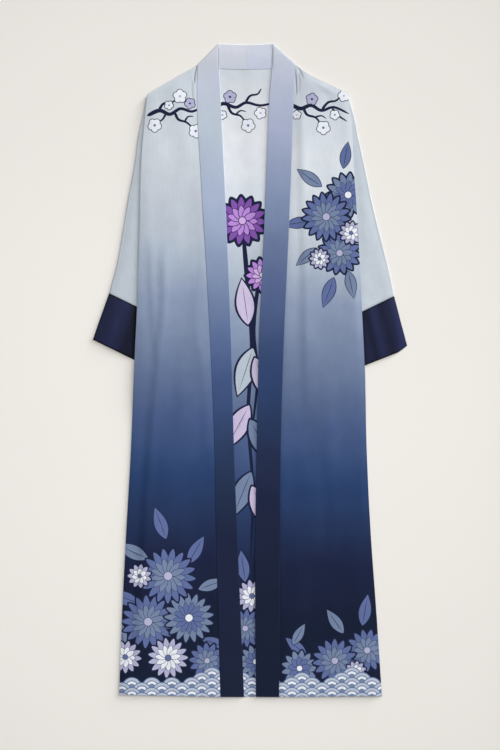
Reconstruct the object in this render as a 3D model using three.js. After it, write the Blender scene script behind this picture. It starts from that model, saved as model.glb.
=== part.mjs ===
// An open-front kimono robe laid flat, front up, with its sleeves folded down behind the body.
// Millimetres. X runs to the wearer's left, Y up to the collar and Z up from the surface that the
// robe lies on. The origin is on that surface, in the middle of the robe's outline. Places are given
// as drop, the distance below the top of the collar, and reach, the distance from the centre line.
import * as THREE from "three";

// ---- Driving sizes ----
const LENGTH = 1372; // top of the collar to the hem
const CLOTH = 1; // wall of one layer with its seams
const FOLDED_CLOTH = 1.2; // wall of the doubled cloth of the neckband and the cuffs
const SEAM_GAP = 0.3; // between two pieces that are sewn edge to edge
const LAYER_GAP = 0.5; // between two layers that lie on each other
const TUBE_HOLLOW = 0.4; // left between the two walls of a sleeve that is pressed flat

const SIDES = [
  { name: "right", sign: -1 },
  { name: "left", sign: 1 },
];

// Reach of the body's outer edges.
const BODY = [
  { drop: 107, right: 215.5, left: 205.5 },
  { drop: 159, right: 221, left: 213 },
  { drop: 253, right: 228.5, left: 217.5 },
  { drop: 396, right: 232, left: 227 },
  { drop: 539, right: 236.5, left: 234 },
  { drop: 686, right: 243.5, left: 241 },
  { drop: 854, right: 250, left: 245 },
  { drop: 1022, right: 259.5, left: 253 },
  { drop: 1190, right: 268, left: 265 },
  { drop: 1372, right: 275, left: 277 },
];

// Reach of the neckband's free edge and of the seam that joins it to the front.
const BAND = [
  { drop: 47, rightFree: 64.5, rightSeam: 111, leftFree: 45, leftSeam: 95.5 },
  { drop: 140, rightFree: 60.5, rightSeam: 111, leftFree: 39.5, leftSeam: 90.5 },
  { drop: 224, rightFree: 56.5, rightSeam: 106.5, leftFree: 36, leftSeam: 88 },
  { drop: 434, rightFree: 47, rightSeam: 94, leftFree: 27.5, leftSeam: 79.5 },
  { drop: 623, rightFree: 40, rightSeam: 84, leftFree: 19, leftSeam: 71 },
  { drop: 854, rightFree: 33.5, rightSeam: 74.5, leftFree: 14, leftSeam: 64.5 },
  { drop: 1085, rightFree: 24.5, rightSeam: 70, leftFree: 10.5, leftSeam: 63 },
  { drop: 1372, rightFree: 12.5, rightSeam: 62, leftFree: 12.5, leftSeam: 61 },
];

// The neck points, where the shoulder lines meet the neckband, how far a shoulder line sags below a
// straight one, and how far down the hem's outer corner lies.
const SHOULDER = {
  right: { neckReach: 111, neckDrop: 46.5, sag: 0, cornerDrop: 1367 },
  left: { neckReach: 96, neckDrop: 45, sag: 5, cornerDrop: 1370 },
};

// The neckband behind the neck, from its join at the centre back to the lines where it folds over:
// drop of its top edge and of its seam at the centre, and the two ends of each fold line.
const NECK = { centreX: -7, topDrop: 3, seamDrop: 54.5, curve: 2.5, foldRadius: 1 };
const NECK_FOLD = {
  right: { freeReach: 65.5, freeDrop: 0, seamReach: 110.5, seamDrop: 44.5 },
  left: { freeReach: 48, freeDrop: 0, seamReach: 95.5, seamDrop: 43 },
};
const NECK_TURN_DROP = 92; // by here the folded neckband lies straight and level

// Sections of the sleeves from the armhole to the cuff, and of the cuffs from there to the mouth:
// the outer edge's place, the width of the pressed tube, and how far, in degrees, its inner end is
// turned down.
const SLEEVE = {
  right: [
    { drop: 112, reach: 217, width: 32, tilt: 27 },
    { drop: 159, reach: 227, width: 63, tilt: 27 },
    { drop: 199, reach: 235, width: 90, tilt: 27 },
    { drop: 253, reach: 242, width: 113, tilt: 27 },
    { drop: 329, reach: 256, width: 143, tilt: 26 },
    { drop: 396, reach: 267, width: 167, tilt: 26 },
    { drop: 463, reach: 279, width: 191, tilt: 26 },
    { drop: 524, reach: 295.5, width: 214, tilt: 26 },
  ],
  left: [
    { drop: 114, reach: 207, width: 32, tilt: 27 },
    { drop: 159, reach: 219.5, width: 63, tilt: 27 },
    { drop: 207, reach: 229, width: 90, tilt: 27 },
    { drop: 251, reach: 239, width: 113, tilt: 27 },
    { drop: 329, reach: 255, width: 143, tilt: 26 },
    { drop: 402, reach: 272.5, width: 167, tilt: 26 },
    { drop: 463, reach: 288, width: 191, tilt: 26 },
    { drop: 530, reach: 302.5, width: 214, tilt: 26 },
  ],
};
const CUFF = {
  right: [
    { drop: 524, reach: 295.5, width: 214, tilt: 26 },
    { drop: 573, reach: 313, width: 201, tilt: 26 },
    { drop: 622, reach: 330, width: 189, tilt: 26 },
  ],
  left: [
    { drop: 530, reach: 302.5, width: 214, tilt: 26 },
    { drop: 586, reach: 317, width: 201, tilt: 24 },
    { drop: 641, reach: 330, width: 189, tilt: 21.5, cornerCut: 6.5 },
  ],
};
const CORNER_WIDTH = 20; // a mouth's outer corner is cut off over this width

// Soft folds of the fronts: long low ridges, each along a line from one place to another.
const FOLDS = {
  right: [
    { drop: 150, reach: 110, endDrop: 930, endReach: 86, width: 11, height: 2.2 },
    { drop: 440, reach: 172, endDrop: 1340, endReach: 236, width: 17, height: 3 },
  ],
  left: [
    { drop: 90, reach: 111, endDrop: 840, endReach: 129, width: 14, height: 3 },
    { drop: 420, reach: 200, endDrop: 1180, endReach: 226, width: 24, height: 1.6 },
  ],
};

// A front stands a little off the back just inside its outer edges.
const LOFT = { height: 1.4, risen: 14, gone: 75 };

// The body is up over the sleeves and as far past their outlines, and comes down over the fall.
const LIFT = { height: 2 * FOLDED_CLOTH + TUBE_HOLLOW + SEAM_GAP, past: 25, fall: 120 };

// Numbers of steps in the meshes.
const STEPS = {
  rows: 32,
  front: 16,
  backOuter: 6,
  backNeck: 10,
  bandAcross: 4,
  bandNeck: 6,
  bandFold: 6,
  bandTurn: 4,
  bandRows: 30,
  tubeFlat: 7,
  tubeRound: 3,
};

const COLOURS = {
  back: 0x8fa1c0,
  front: 0x6f84ae,
  sleeve: 0xc3ccd8,
  cuff: 0x1f2342,
  neckband: 0x3a4a7c,
};

// ---- Helpers ----
const { clamp, degToRad, lerp, smoothstep } = THREE.MathUtils;
const yAt = (drop) => LENGTH / 2 - drop;
const dropAt = (y) => LENGTH / 2 - y;
const count = (steps, make) => Array.from({ length: steps + 1 }, (_, step) => make(step / steps));

// A column of a table at any drop, on a smooth curve through its rows.
function valueAt(rows, column, drop) {
  const last = rows.length - 1;
  const at = clamp(drop, rows[0].drop, rows[last].drop);
  const next = clamp(rows.findIndex((row) => row.drop >= at), 1, last);
  const slope = (k) => {
    const before = rows[Math.max(k - 1, 0)];
    const after = rows[Math.min(k + 1, last)];
    return (after[column] - before[column]) / (after.drop - before.drop);
  };
  const step = rows[next].drop - rows[next - 1].drop;
  const t = (at - rows[next - 1].drop) / step;
  const bend = t * (1 - t) * ((1 - t) * slope(next - 1) - t * slope(next));
  return lerp(rows[next - 1][column], rows[next][column], t * t * (3 - 2 * t)) + step * bend;
}

// Six times the volume that the triangles enclose, negative where they face inwards.
function signedVolume(points, indices) {
  let volume = 0;
  for (let i = 0; i < indices.length; i += 3) {
    const [a, b, c] = indices.slice(i, i + 3).map((index) => points[index]);
    volume += a.dot(new THREE.Vector3().crossVectors(b, c));
  }
  return volume;
}

// A closed wall between two matching grids of points. A ring's columns run round and meet.
function wallMesh(name, colour, outer, inner, ring) {
  const columns = outer[0].length;
  const lastRow = outer.length - 1;
  const lastColumn = ring ? columns : columns - 1;
  const corner = (grid, row, column) => (grid * outer.length + row) * columns + (column % columns);
  const indices = [];
  const quad = (a, b, c, d) => indices.push(a, b, c, a, c, d);
  for (let r = 0; r < lastRow; r += 1) {
    for (let c = 0; c < lastColumn; c += 1) {
      quad(corner(0, r, c), corner(0, r, c + 1), corner(0, r + 1, c + 1), corner(0, r + 1, c));
      quad(corner(1, r, c), corner(1, r + 1, c), corner(1, r + 1, c + 1), corner(1, r, c + 1));
    }
  }
  for (let c = 0; c < lastColumn; c += 1) {
    quad(corner(0, 0, c), corner(1, 0, c), corner(1, 0, c + 1), corner(0, 0, c + 1));
    quad(
      corner(0, lastRow, c + 1),
      corner(1, lastRow, c + 1),
      corner(1, lastRow, c),
      corner(0, lastRow, c),
    );
  }
  for (let r = 0; r < lastRow && !ring; r += 1) {
    quad(corner(0, r, 0), corner(0, r + 1, 0), corner(1, r + 1, 0), corner(1, r, 0));
    quad(
      corner(0, r + 1, lastColumn),
      corner(0, r, lastColumn),
      corner(1, r, lastColumn),
      corner(1, r + 1, lastColumn),
    );
  }
  const points = [...outer.flat(), ...inner.flat()];
  if (signedVolume(points, indices) < 0) indices.reverse();
  const geometry = new THREE.BufferGeometry().setFromPoints(points);
  geometry.setIndex(indices);
  geometry.computeVertexNormals();
  const material = new THREE.MeshStandardMaterial({ color: colour, roughness: 0.55, metalness: 0 });
  const mesh = new THREE.Mesh(geometry, material);
  mesh.name = name;
  return mesh;
}

// Distance from a place to a closed outline in the plane, 0 inside it.
function distanceOutside(place, outline) {
  let inside = false;
  let nearest = Infinity;
  outline.forEach((a, i) => {
    const b = outline[(i + 1) % outline.length];
    const along = b.clone().sub(a);
    const t = clamp(place.clone().sub(a).dot(along) / along.lengthSq(), 0, 1);
    nearest = Math.min(nearest, place.distanceTo(a.clone().addScaledVector(along, t)));
    if (a.y > place.y !== b.y > place.y) {
      const crossing = lerp(a.x, b.x, (place.y - a.y) / (b.y - a.y));
      if (place.x < crossing) inside = !inside;
    }
  });
  return inside ? 0 : nearest;
}

// ---- Sleeves and cuffs ----
// The two ends of a section of a pressed tube, and the way from the outer one to the inner one.
function sectionEnds(side, row) {
  const tilt = degToRad(row.tilt);
  const outer = new THREE.Vector2(side.sign * row.reach, yAt(row.drop));
  const inwards = new THREE.Vector2(-side.sign * Math.cos(tilt), -Math.sin(tilt));
  return { outer, inwards, inner: outer.clone().addScaledVector(inwards, row.width) };
}

// Places round a pressed section: along runs from its outer edge, and height from the surface.
function pressedRing(width, height, inset) {
  const radius = height / 2 - inset;
  const rounding = count(STEPS.tubeRound, (t) => ({
    along: inset + radius * (1 - Math.cos((Math.PI / 2) * t)),
    rise: radius * Math.sin((Math.PI / 2) * t),
  }));
  const flat = count(STEPS.tubeFlat, (t) => ({
    along: lerp(inset + radius, width - inset - radius, t),
    rise: radius,
  }));
  const ending = rounding.map(({ along, rise }) => ({ along: width - along, rise })).reverse();
  const upper = [...rounding.slice(0, -1), ...flat, ...ending.slice(1)];
  const lower = upper.slice(1, -1).reverse();
  return [
    ...upper.map(({ along, rise }) => ({ along, z: height / 2 + rise })),
    ...lower.map(({ along, rise }) => ({ along, z: height / 2 - rise })),
  ];
}

function tubeMesh(name, colour, side, rows, wall) {
  const height = 2 * wall + TUBE_HOLLOW;
  const grid = (inset) =>
    rows.map((row) => {
      const { outer, inwards } = sectionEnds(side, row);
      return pressedRing(row.width, height, inset).map(({ along, z }) => {
        const place = outer.clone().addScaledVector(inwards, along);
        const cut = (row.cornerCut ?? 0) * Math.max(0, 1 - along / CORNER_WIDTH);
        return new THREE.Vector3(place.x, place.y + cut, z);
      });
    });
  return wallMesh(name, colour, grid(0), grid(wall), true);
}

const sleeveMesh = (side) =>
  tubeMesh(`sleeve_${side.name}`, COLOURS.sleeve, side, SLEEVE[side.name], CLOTH);

// The cuff starts a seam's gap after the sleeve.
function cuffMesh(side) {
  const [first, ...rest] = CUFF[side.name];
  const start = { ...first, drop: first.drop + SEAM_GAP / Math.cos(degToRad(first.tilt)) };
  return tubeMesh(`cuff_${side.name}`, COLOURS.cuff, side, [start, ...rest], FOLDED_CLOTH);
}

const tubeOutlines = SIDES.map((side) => {
  const rows = [...SLEEVE[side.name], ...CUFF[side.name].slice(1)];
  const ends = rows.map((row) => sectionEnds(side, row));
  return [...ends.map((end) => end.outer), ...ends.map((end) => end.inner).reverse()];
});

// Height of the back's underside: flat on the surface, and up where it lies over the sleeves.
function liftAt(x, y) {
  const place = new THREE.Vector2(x, y);
  const distance = Math.min(...tubeOutlines.map((outline) => distanceOutside(place, outline)));
  return LIFT.height * (1 - smoothstep(distance, LIFT.past, LIFT.past + LIFT.fall));
}

const overBack = (x, y) => liftAt(x, y) + CLOTH + LAYER_GAP;

// ---- Panels of the body ----
// A place on the shoulder line, from the outer edge, 0, to the neck point, 1.
function shoulderPlace(side, t) {
  const { neckReach, neckDrop, sag } = SHOULDER[side.name];
  const straight = lerp(BODY[0].drop, neckDrop, t);
  return {
    reach: lerp(BODY[0][side.name], neckReach, t),
    drop: straight + sag * Math.sin(Math.PI * t * t),
  };
}

// The line that the neckband folds over on, set in by the roundness of the fold, from the free edge
// to the seam, and the way that points out of the fold.
function neckFoldLine(side) {
  const { freeReach, freeDrop, seamReach, seamDrop } = NECK_FOLD[side.name];
  const free = new THREE.Vector2(side.sign * freeReach, yAt(freeDrop));
  const seam = new THREE.Vector2(side.sign * seamReach, yAt(seamDrop));
  const along = seam.clone().sub(free).normalize();
  const out = new THREE.Vector2(-side.sign * along.y, side.sign * along.x);
  const inset = -NECK.foldRadius - FOLDED_CLOTH / 2;
  return { free: free.addScaledVector(out, inset), seam: seam.addScaledVector(out, inset), out };
}

// Drop of the seam between the back and the neckband.
function neckSeamDrop(x) {
  const end = neckFoldLine(SIDES[x < NECK.centreX ? 0 : 1]).seam;
  const t = clamp((x - NECK.centreX) / (end.x - NECK.centreX), 0, 1);
  return lerp(NECK.seamDrop, dropAt(end.y), Math.pow(t, NECK.curve));
}

// Height that the folds and the loft behind the outer edges add to a front.
function reliefAt(side, reach, drop, inFromEdge) {
  const { height, risen, gone } = LOFT;
  const loft = height * smoothstep(inFromEdge, 0, risen) * (1 - smoothstep(inFromEdge, risen, gone));
  return FOLDS[side.name].reduce((sum, fold) => {
    const t = clamp((drop - fold.drop) / (fold.endDrop - fold.drop), 0, 1);
    const off = (reach - lerp(fold.reach, fold.endReach, t)) / fold.width;
    return sum + fold.height * Math.sin(Math.PI * t) * Math.exp(-off * off);
  }, loft);
}

// A panel's wall, from its underside's rows of points.
function panelMesh(name, colour, lower) {
  const upper = lower.map((row) => row.map((point) => point.clone().setZ(point.z + CLOTH)));
  return wallMesh(name, colour, upper, lower, false);
}

function frontMesh(side) {
  const { neckDrop, cornerDrop } = SHOULDER[side.name];
  const lower = count(STEPS.rows, (up) => {
    const outerDrop = lerp(cornerDrop, BODY[0].drop, up);
    const innerDrop = lerp(LENGTH, neckDrop, up);
    const outerReach = valueAt(BODY, side.name, outerDrop);
    const innerReach = valueAt(BAND, `${side.name}Seam`, innerDrop) + SEAM_GAP;
    return count(STEPS.front, (t) => {
      const top = shoulderPlace(side, t).drop;
      const reach = lerp(outerReach, innerReach, t);
      const drop = lerp(lerp(cornerDrop, LENGTH, t), top, up);
      const inFromEdge = Math.min(outerReach - reach, drop - top);
      const x = side.sign * reach;
      const y = yAt(drop);
      return new THREE.Vector3(x, y, overBack(x, y) + reliefAt(side, reach, drop, inFromEdge));
    });
  });
  return panelMesh(`front_${side.name}`, COLOURS.front, lower);
}

// The back's upper edge, from the wearer's right shoulder over the neck to the left shoulder.
function backTopEdge() {
  const shoulder = (side) =>
    count(STEPS.backOuter, (t) => {
      const { reach, drop } = shoulderPlace(side, t);
      return { x: side.sign * reach, drop };
    });
  const neckX = (side) => side.sign * SHOULDER[side.name].neckReach;
  const neck = count(STEPS.backNeck, (t) => {
    const x = lerp(neckX(SIDES[0]), neckX(SIDES[1]), t);
    return { x, drop: neckSeamDrop(x) + SEAM_GAP };
  });
  return [...shoulder(SIDES[0]), ...neck.slice(1, -1), ...shoulder(SIDES[1]).reverse()];
}

function backMesh() {
  const top = backTopEdge();
  const first = top[0].x;
  const width = top[top.length - 1].x - first;
  const lower = count(STEPS.rows, (up) =>
    top.map((edge) => {
      const t = (edge.x - first) / width;
      const corner = lerp(SHOULDER.right.cornerDrop, SHOULDER.left.cornerDrop, t);
      const rightReach = valueAt(BODY, "right", lerp(SHOULDER.right.cornerDrop, BODY[0].drop, up));
      const leftReach = valueAt(BODY, "left", lerp(SHOULDER.left.cornerDrop, BODY[0].drop, up));
      const x = lerp(-rightReach, leftReach, t);
      const y = yAt(lerp(corner, edge.drop, up));
      return new THREE.Vector3(x, y, liftAt(x, y));
    }),
  );
  return panelMesh("back", COLOURS.back, lower);
}

// ---- Neckband ----
// One half of the neckband runs from the centre back, over the fold at the shoulder and down the
// front. Each of its sections goes from the free edge to the seam, with a function for the height of
// the wall's middle and the way that its inner face looks.
const UP = new THREE.Vector3(0, 0, 1);
const DOWN = new THREE.Vector3(0, 0, -1);

function sectionsBehindNeck(side) {
  const fold = neckFoldLine(side);
  const start = NECK.centreX + (side.sign * SEAM_GAP) / 2;
  return count(STEPS.bandNeck, (t) => {
    const seamX = lerp(start, fold.seam.x, t);
    const top = new THREE.Vector2(start, yAt(NECK.topDrop));
    return {
      free: top.lerp(fold.free, t),
      seam: new THREE.Vector2(seamX, yAt(neckSeamDrop(seamX))),
      middle: () => FOLDED_CLOTH / 2,
      inside: UP,
    };
  });
}

function sectionsRoundFold(side) {
  const { free, seam, out } = neckFoldLine(side);
  return count(STEPS.bandFold, (t) => {
    const bulge = NECK.foldRadius * Math.sin(Math.PI * t);
    const tip = new THREE.Vector3(out.x, out.y, 0).multiplyScalar(-Math.sin(Math.PI * t));
    return {
      free: free.clone().addScaledVector(out, bulge),
      seam: seam.clone().addScaledVector(out, bulge),
      middle: () => FOLDED_CLOTH / 2 + NECK.foldRadius * (1 - Math.cos(Math.PI * t)),
      inside: tip.addScaledVector(UP, Math.cos(Math.PI * t)),
    };
  });
}

// From the fold the sections turn level, and then keep level down to the hem.
function sectionsDownFront(side) {
  const fold = neckFoldLine(side);
  const middle = (x, y) => {
    const settled = smoothstep(dropAt(y), dropAt(fold.seam.y), NECK_TURN_DROP);
    return FOLDED_CLOTH / 2 + lerp(2 * NECK.foldRadius, overBack(x, y), settled);
  };
  const edge = (column, start, t) => {
    const drop = lerp(dropAt(start.y), NECK_TURN_DROP, t);
    const x = side.sign * valueAt(BAND, side.name + column, drop);
    return new THREE.Vector2(lerp(start.x, x, t), yAt(drop));
  };
  const turning = count(STEPS.bandTurn, (t) => ({
    free: edge("Free", fold.free, t),
    seam: edge("Seam", fold.seam, t),
  }));
  const level = count(STEPS.bandRows, (t) => {
    const y = yAt(lerp(NECK_TURN_DROP, LENGTH, t));
    const x = (column) => side.sign * valueAt(BAND, side.name + column, dropAt(y));
    return { free: new THREE.Vector2(x("Free"), y), seam: new THREE.Vector2(x("Seam"), y) };
  });
  return [...turning, ...level.slice(1)].map((ends) => ({ ...ends, middle, inside: DOWN }));
}

function neckbandMesh(side) {
  const sections = [
    ...sectionsBehindNeck(side).slice(0, -1),
    ...sectionsRoundFold(side),
    ...sectionsDownFront(side).slice(1),
  ];
  const face = (way) =>
    sections.map(({ free, seam, middle, inside }) =>
      count(STEPS.bandAcross, (t) => {
        const { x, y } = free.clone().lerp(seam, t);
        const point = new THREE.Vector3(x, y, middle(x, y));
        return point.addScaledVector(inside, (way * FOLDED_CLOTH) / 2);
      }),
    );
  return wallMesh(`neckband_${side.name}`, COLOURS.neckband, face(1), face(-1), false);
}

const robe = new THREE.Group();
robe.add(backMesh());
SIDES.forEach((side) => {
  robe.add(sleeveMesh(side), cuffMesh(side), frontMesh(side), neckbandMesh(side));
});
export default robe;
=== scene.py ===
"""Blender look of a silk kimono robe laid flat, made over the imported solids.

Sizes are millimetres in the solids' own places: drop is measured down from the top of the collar,
and reach out from the centre line. They become metres where a mesh is made.
"""
import math

import bpy
import numpy as np
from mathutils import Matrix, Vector, geometry


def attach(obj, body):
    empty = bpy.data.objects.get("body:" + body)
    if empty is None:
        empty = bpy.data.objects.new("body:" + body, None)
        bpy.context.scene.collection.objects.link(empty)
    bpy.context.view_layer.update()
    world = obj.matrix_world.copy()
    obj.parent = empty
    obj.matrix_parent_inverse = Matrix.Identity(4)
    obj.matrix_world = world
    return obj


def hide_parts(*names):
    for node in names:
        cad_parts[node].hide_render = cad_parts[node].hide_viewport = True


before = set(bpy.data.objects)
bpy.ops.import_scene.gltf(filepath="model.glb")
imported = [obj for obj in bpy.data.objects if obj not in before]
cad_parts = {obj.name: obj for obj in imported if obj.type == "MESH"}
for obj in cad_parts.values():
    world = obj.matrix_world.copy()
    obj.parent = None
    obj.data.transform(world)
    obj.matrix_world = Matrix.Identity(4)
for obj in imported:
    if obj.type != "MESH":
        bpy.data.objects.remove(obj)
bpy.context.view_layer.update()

MM = 0.001
LENGTH = 1372.0
SIDES = {"right": -1, "left": 1}


def table(columns, *rows):
    return {name: np.array(values, float) for name, values in zip(columns.split(), zip(*rows))}


# ---- Sizes that the solids have too ----
BODY = table(
    "drop right left",
    (107, 215.5, 205.5),
    (159, 221, 213),
    (253, 228.5, 217.5),
    (396, 232, 227),
    (539, 236.5, 234),
    (686, 243.5, 241),
    (854, 250, 245),
    (1022, 259.5, 253),
    (1190, 268, 265),
    (1372, 275, 277),
)
BAND = table(
    "drop rightFree rightSeam leftFree leftSeam",
    (47, 64.5, 111, 45, 95.5),
    (140, 60.5, 111, 39.5, 90.5),
    (224, 56.5, 106.5, 36, 88),
    (434, 47, 94, 27.5, 79.5),
    (623, 40, 84, 19, 71),
    (854, 33.5, 74.5, 14, 64.5),
    (1085, 24.5, 70, 10.5, 63),
    (1372, 12.5, 62, 12.5, 61),
)
SHOULDER = {
    "right": {"neck_reach": 111, "neck_drop": 46.5, "sag": 0, "corner_drop": 1367},
    "left": {"neck_reach": 96, "neck_drop": 45, "sag": 5, "corner_drop": 1370},
}
NECK = {"centre_x": -7, "top_drop": 3, "seam_drop": 54.5, "curve": 2.5}
NECK_FOLD = {
    "right": {"free": (65.5, 0), "seam": (110.5, 44.5)},
    "left": {"free": (48, 0), "seam": (95.5, 43)},
}
NECK_TURN_DROP = 92
SLEEVE = {
    "right": table(
        "drop reach width tilt",
        (112, 217, 32, 27),
        (159, 227, 63, 27),
        (199, 235, 90, 27),
        (253, 242, 113, 27),
        (329, 256, 143, 26),
        (396, 267, 167, 26),
        (463, 279, 191, 26),
        (524, 295.5, 214, 26),
    ),
    "left": table(
        "drop reach width tilt",
        (114, 207, 32, 27),
        (159, 219.5, 63, 27),
        (207, 229, 90, 27),
        (251, 239, 113, 27),
        (329, 255, 143, 26),
        (402, 272.5, 167, 26),
        (463, 288, 191, 26),
        (530, 302.5, 214, 26),
    ),
}
CUFF = {
    "right": table(
        "drop reach width tilt cut",
        (524, 295.5, 214, 26, 0),
        (573, 313, 201, 26, 0),
        (622, 330, 189, 26, 0),
    ),
    "left": table(
        "drop reach width tilt cut",
        (530, 302.5, 214, 26, 0),
        (586, 317, 201, 24, 0),
        (641, 330, 189, 21.5, 6.5),
    ),
}
CORNER_WIDTH = 20
SEAM_GAP = 0.3
LIFT = {"height": 3.1, "past": 25, "fall": 120}

# ---- Thickness of the cloth, and its heights above the surface that it lies on or its lift ----
SILK = 0.6
BACK_TOP = 0.75
FRONT_TOP = 2.3
BAND_MIDDLE = 2.1
BAND_THICK = 1.2
# The neckband's fold is tighter than the solids', as its cloth is thinner.
FOLD_RADIUS = 0.65
HEM_LIFT = 0.7
EDGE_DIP = {"right": 0.3, "left": 0.1}
EDGE_ROLL = {"right": 0.35, "left": 0.25}
EDGE_RISE = {"right": 0.4, "left": 0.2}
SEAM_DIP = {"right": 0.15, "left": 0.4}
SEAM_DIP_WIDTH = 2.2
# How wide the painted shade along the turned edges and seams of sleeves and cuffs is.
PAINTED_EDGE_SHADE_WIDTH = 2.4
# How far in from an edge or a seam each form of a front's relief begins and ends.
FRONT_REACH = {
    "swell_edge": (0, 22), "swell_seam": (0, 30), "swell_hem": (0, 30),
    "roll_rise": (0, 16), "roll_fall": (18, 110), "hem_lift": (0, 70), "hem_edge": (0, 20),
    "crease_edge": (0, 12), "crease_seam": (0, 14), "tuck_seam": (0, 1.5), "edge_dip": (0, 4),
}
CREASE_AT_SEAM = 0.6
TUBE_ROLL_RISE = (0, 16)
TUBE_ROLL_FALL = (18, 90)
TUBE_BARE = 18
SEAM_PINCH_WIDTH = 1.6
BACK_EDGE = {"height": 0.35, "width": 4}
BACK_HEM_SAG = 3.4
# The back's ripples show in the opening between the fronts, and fade out between these reaches.
BACK_OPENING = (20, 60)
# Ripples: height, length across and length down for one radian, and the phase at the start.
BACK_RIPPLES = [(0.22, 17, 310, 0), (0.16, 9.5, -170, 2)]
BACK_RIPPLE_LOWEST = -0.2
BAND_RIPPLES = [(0.12, 22, 31, 0), (0.1, -15, 83, 0)]
BAND_RIPPLE_START = (110, 200)
# A sleeve or cuff: its thickness, its wall, the share that a seam presses it in, how much painted
# shadow darkens it close beside the body's edge and out to what reach, its ripples and how far in
# from the outer edge they set in, and its sections: how far from its seam and its mouth the close
# ones lie, and how many lie between.
SLEEVE_SHELL = {
    "thick": 2.4, "wall": SILK, "pinch": 0.1, "painted_contact_shadow": 0.3, "reach": 7,
    "ripples": [(0.15, 11, 70, 0), (0.12, -19, 38, 0)], "ripple_in": 5,
    "first": (0, 1, 2.5, 5), "last": (5, 2.5, 1.2, 0.5, 0), "between": 80,
}
CUFF_SHELL = {
    "thick": 2.8, "wall": 0.8, "pinch": 0.22, "painted_contact_shadow": 0.7, "reach": 4,
    "ripples": [(0.28, 8.5, 260, 0.6), (0.12, 3.9, 90, 0)], "ripple_in": 6,
    "first": (0, 0.5, 1.2, 2.5, 5), "last": (4, 2, 0.8, 0), "between": 22,
}
# The gap at a cuff's seam, measured straight down across the seam's tilt.
CUFF_GAP = SEAM_GAP / math.cos(math.radians(CUFF["right"]["tilt"][0]))

# ---- Painted shade and painted sheen on the cloth, and the collar's lighter tone, as shares that it is darker by ----
# Where the neckband lies over its own collar, its free edge is pressed thin, beside a dark line of
# painted shade.
# Both fade out just above the collar's seam.
PRESSED_EDGE = {"share": 0.55, "in": 6, "fade": 6}
COLLAR_PAINTED_LINE = {
    "right": {"in": 0.3, "width": 2.6, "shade": 1.0},
    "left": {"in": 1.1, "width": 0.7, "shade": 1.0},
}
COLLAR_LIGHTER = 0.16
# Painted shade over the neckband's fold, which darkens it where it turns towards the light.
FOLD_PAINTED_SHADE = {"right": 0.1, "left": 0.8}
# Painted sheen on each cuff, in soft bands: how far in from its outer edge, and how much darker.
CUFF_PAINTED_SHEEN = {
    "right": [(0, 0.15), (14, 0.15), (36, -0.3), (50, 0.1), (64, 0.6), (120, 0.65)],
    "left": [(0, -1.0), (9, -0.7), (18, 0.05), (32, 0.3), (53, -0.5), (67, 0.5), (80, 0.15)],
}
# Sleeves get no painted sheen bands.
NO_PAINTED_SHEEN = [(0, 0)]

# ---- Numbers of steps in the meshes, and their spacing ----
STEPS = {
    "front_outer": 260, "front_inner": 270, "front_hem": 44, "shoulder": 50,
    "back_edge": 200, "back_shoulder": 22, "back_neck": 50, "back_hem": 90,
    "band_neck": 16, "band_fold": 10, "band_front": 190,
}
# Steps across a pressed section's flat side, and round each quarter of its edge.
TUBE_STEPS = (40, 4)
BAND_STEPS = (14, 3)
SPACING = {"back": 7.0, "front": 5.0}
# Mesh lines beside a tuck, in shares of its width, and beside a front's outer edge.
TUCK_LINES = {"step": 2.5, "shares": (-2.2, -1.5, -1, -0.5, 0, 0.5, 1, 1.5, 2.2)}
EDGE_LINES = {"step": 6, "insets": (1, 2, 3.2, 4.6, 6.4, 8.6)}
# Mesh lines beside the folded edges of sleeves, cuffs and bands.
EDGE_STEPS = np.array([0, 0.5, 1.1, 1.8, 2.8, 4.2])
EDGE_CLEAR = 2

# ---- Creases: steep on the wearer's right of each line, then sloping away gently ----
CREASES = {
    "left": [
        dict(steep=18, tail=55, height=1.6, fade=(70, 190), line=[
            (110, 100), (224, 103), (330, 106), (455, 109), (540, 110.5), (710, 112), (840, 117)]),
        dict(steep=22, tail=30, height=1.0, fade=(25, 60), line=[
            (56, 108), (108, 168), (150, 196)]),
        dict(steep=40, tail=60, height=0.6, fade=(160, 160), line=[
            (430, 214), (640, 205), (900, 196)]),
        dict(steep=30, tail=50, height=0.9, fade=(120, 160), line=[
            (620, 150), (860, 158), (1100, 172)]),
    ],
    "right": [
        dict(steep=18, tail=55, height=2.2, fade=(90, 200), line=[
            (400, -187), (540, -186), (602, -192), (665, -199), (750, -206), (833, -214),
            (917, -220), (1040, -228), (1357, -247)]),
        dict(steep=15, tail=16, height=1.1, fade=(60, 80), line=[
            (400, -214), (497, -213), (560, -209), (623, -204), (690, -200)]),
        dict(steep=15, tail=40, height=0.7, fade=(260, 120), line=[
            (440, -122), (600, -118), (665, -106), (750, -101), (833, -99), (930, -96)]),
        dict(steep=26, tail=40, height=0.7, fade=(30, 80), line=[
            (60, -150), (120, -176), (200, -190)]),
    ],
}
# Narrow tucks that start at the shoulder beside the neckband's seam.
TUCKS = {
    "left": [
        dict(line=[(52, 93), (68, 96), (84, 97), (100, 98), (112, 96)], width=1.5, depth=0.9),
        dict(line=[(50, 101), (58, 105), (66, 109), (78, 112)], width=2.2, depth=0.7),
        dict(line=[(62, 103), (84, 104), (108, 103)], width=2.6, depth=0.35),
    ],
    "right": [
        dict(line=[(45, -111), (54, -113.5), (64, -116), (76, -117), (88, -116)], width=1.5,
             depth=1.0),
        dict(line=[(78, -121), (98, -122), (122, -119)], width=2.4, depth=0.4),
    ],
}
TUCK_FADE = 12
# Long slow swells of a front: length across, turns of drift in each mm down, and height.
SWELLS = [(97, 0.0021, 0.28), (61, -0.0033, 0.14), (171, 0.0012, 0.45)]
SWELL_SHIFT = 37
SWELL_LOWEST = -0.4


# ---- Helpers ----
def y_at(drop):
    return LENGTH / 2 - drop


def drop_at(y):
    return LENGTH / 2 - y


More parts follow.
